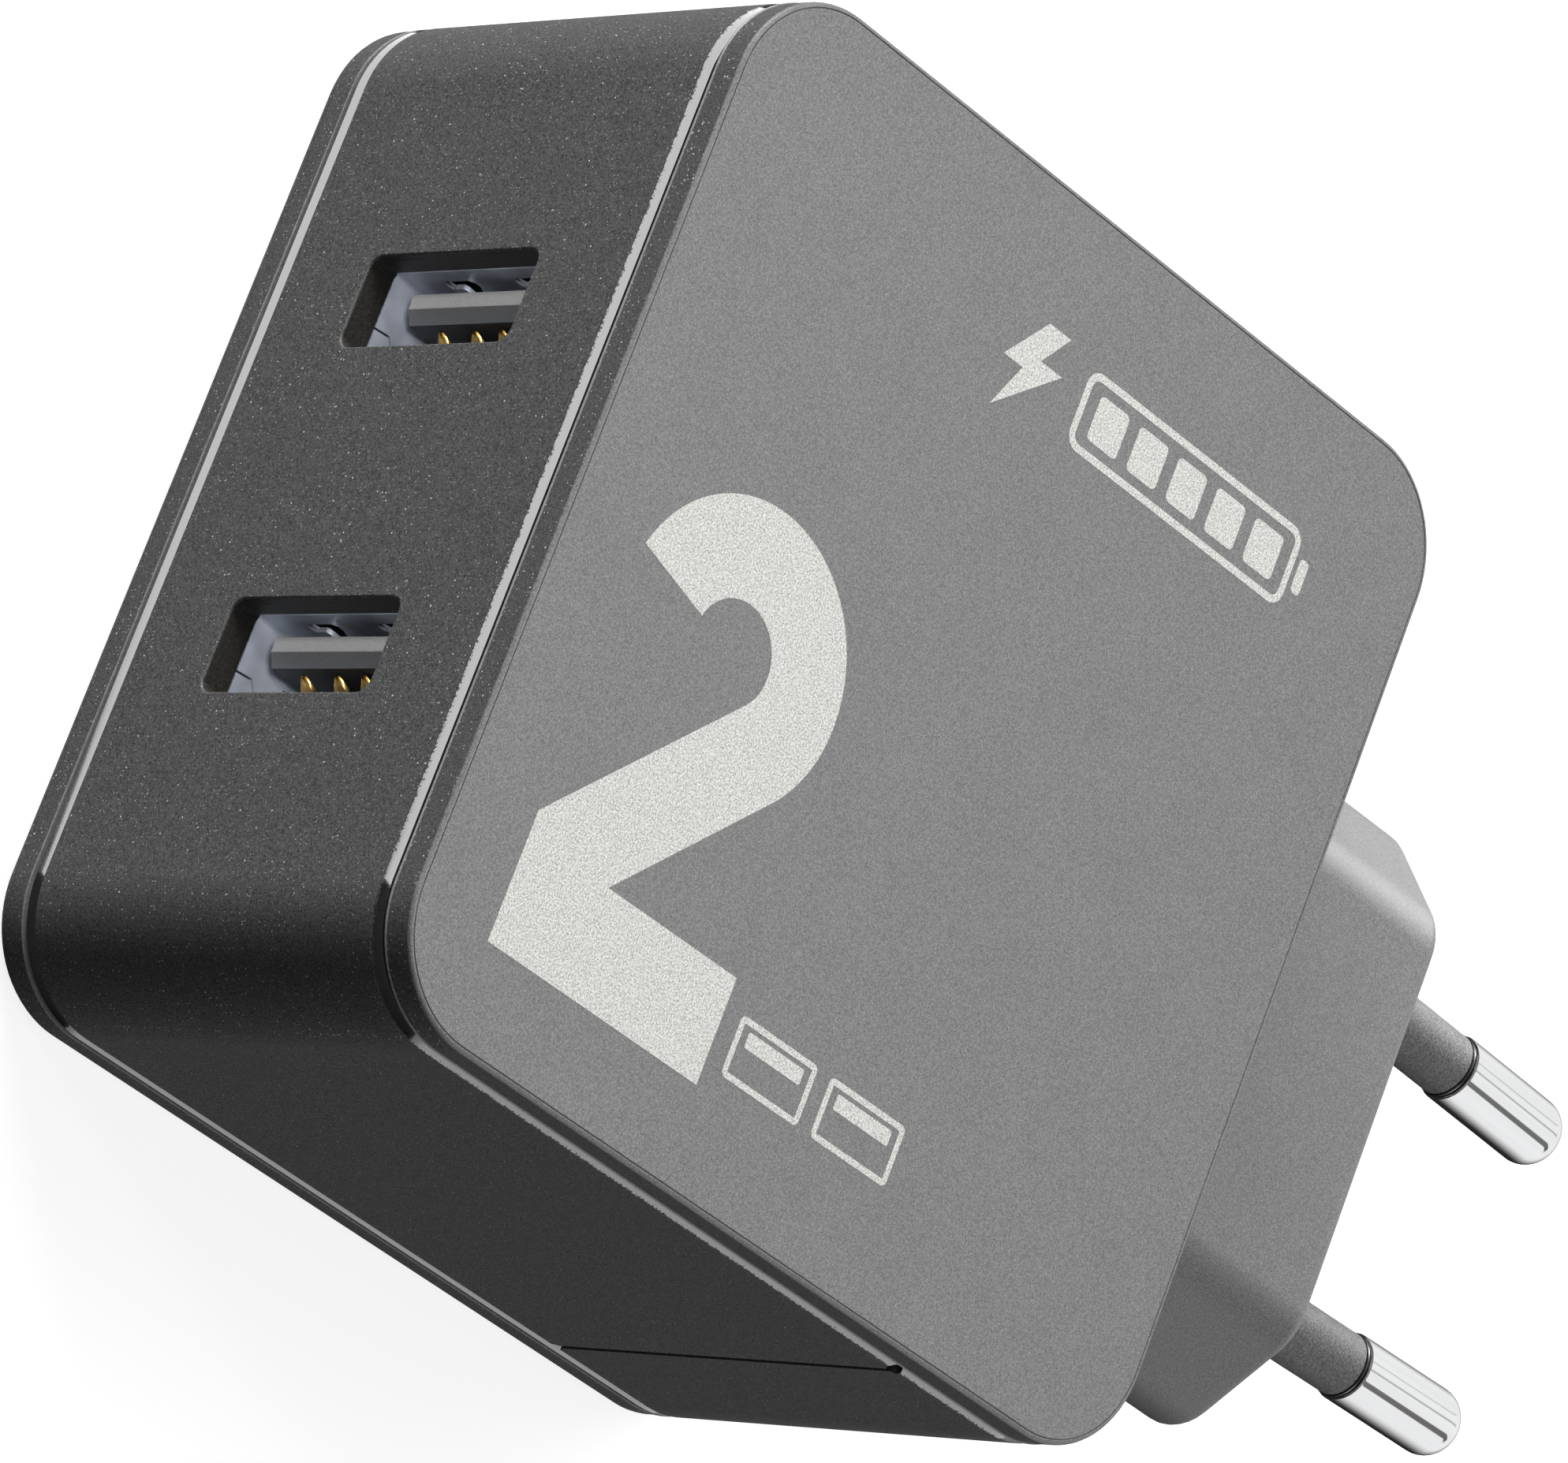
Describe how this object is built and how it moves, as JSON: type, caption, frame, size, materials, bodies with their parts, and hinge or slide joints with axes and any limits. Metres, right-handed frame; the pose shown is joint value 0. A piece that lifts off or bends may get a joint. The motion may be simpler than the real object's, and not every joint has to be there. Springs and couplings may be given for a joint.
{
  "type": "usb wall charger",
  "caption": "Square mains charger block with upright USB-A sockets in its front face and a fixed round-pin Europlug on its back.",
  "frame": {"origin": "middle of the plug's flat end face, halfway between the two pins", "axes": "+Y along the pins into the wall socket, +Z out of the large printed cover, +X across the two pins"},
  "size_m": [0.057, 0.0929, 0.031],
  "materials": {
    "cover_grey": "fine satin paint",
    "band_anthracite": "dark paint with a fine metallic speckle",
    "gloss_black": "polished",
    "pin_chrome": "bright nickel plate",
    "sleeve_grey": "satin",
    "nickel_steel": "nickel plate",
    "insulator_grey": "moulded",
    "contact_gold": "gold plate",
    "board_green": "solder mask",
    "strip_brass": "plain",
    "ferrite": "matt",
    "tape_yellow": "tape over copper wire",
    "black_plastic": "moulded",
    "can_black": "printed sleeve",
    "can_silver": "plain can",
    "copper_wire": "enamelled wire",
    "fuse_green": "potted",
    "film_yellow": "potted",
    "disc_blue": "dipped",
    "sheet_white": "fibre sheet"
  },
  "bodies": {
    "root": {"back_cover": "cover_grey", "back_trim_ring": "gloss_black", "bridge_rectifier": "black_plastic", "bulk_capacitor_1": "can_black", "bulk_capacitor_2": "can_black", "choke_core": "ferrite", "choke_winding": "copper_wire", "controller_chip": "black_plastic", "disc_capacitor": "disc_blue", "film_capacitor": "film_yellow", "front_shell": "band_anthracite", "fuse": "fuse_green", "insulation_sheet": "sheet_white", "main_board": "board_green", "mains_contact_left": "strip_brass", "mains_contact_right": "strip_brass", "optocoupler": "black_plastic", "output_capacitor_1": "can_silver", "output_capacitor_2": "can_silver", "pin_left": "pin_chrome", "pin_right": "pin_chrome", "pin_sleeve_left": "sleeve_grey", "pin_sleeve_right": "sleeve_grey", "plug_boss": "cover_grey", "rear_shell": "band_anthracite", "top_cover": "cover_grey", "top_trim_ring": "gloss_black", "transformer_bobbin": "black_plastic", "transformer_core_lower": "ferrite", "transformer_core_upper": "ferrite", "transformer_winding": "tape_yellow", "usb_1_contact_1": "contact_gold", "usb_1_contact_2": "contact_gold", "usb_1_contact_3": "contact_gold", "usb_1_contact_4": "contact_gold", "usb_1_shell": "nickel_steel", "usb_1_tongue": "insulator_grey", "usb_2_contact_1": "contact_gold", "usb_2_contact_2": "contact_gold", "usb_2_contact_3": "contact_gold", "usb_2_contact_4": "contact_gold", "usb_2_shell": "nickel_steel", "usb_2_tongue": "insulator_grey", "usb_board": "board_green"}
  },
  "joints": []
}
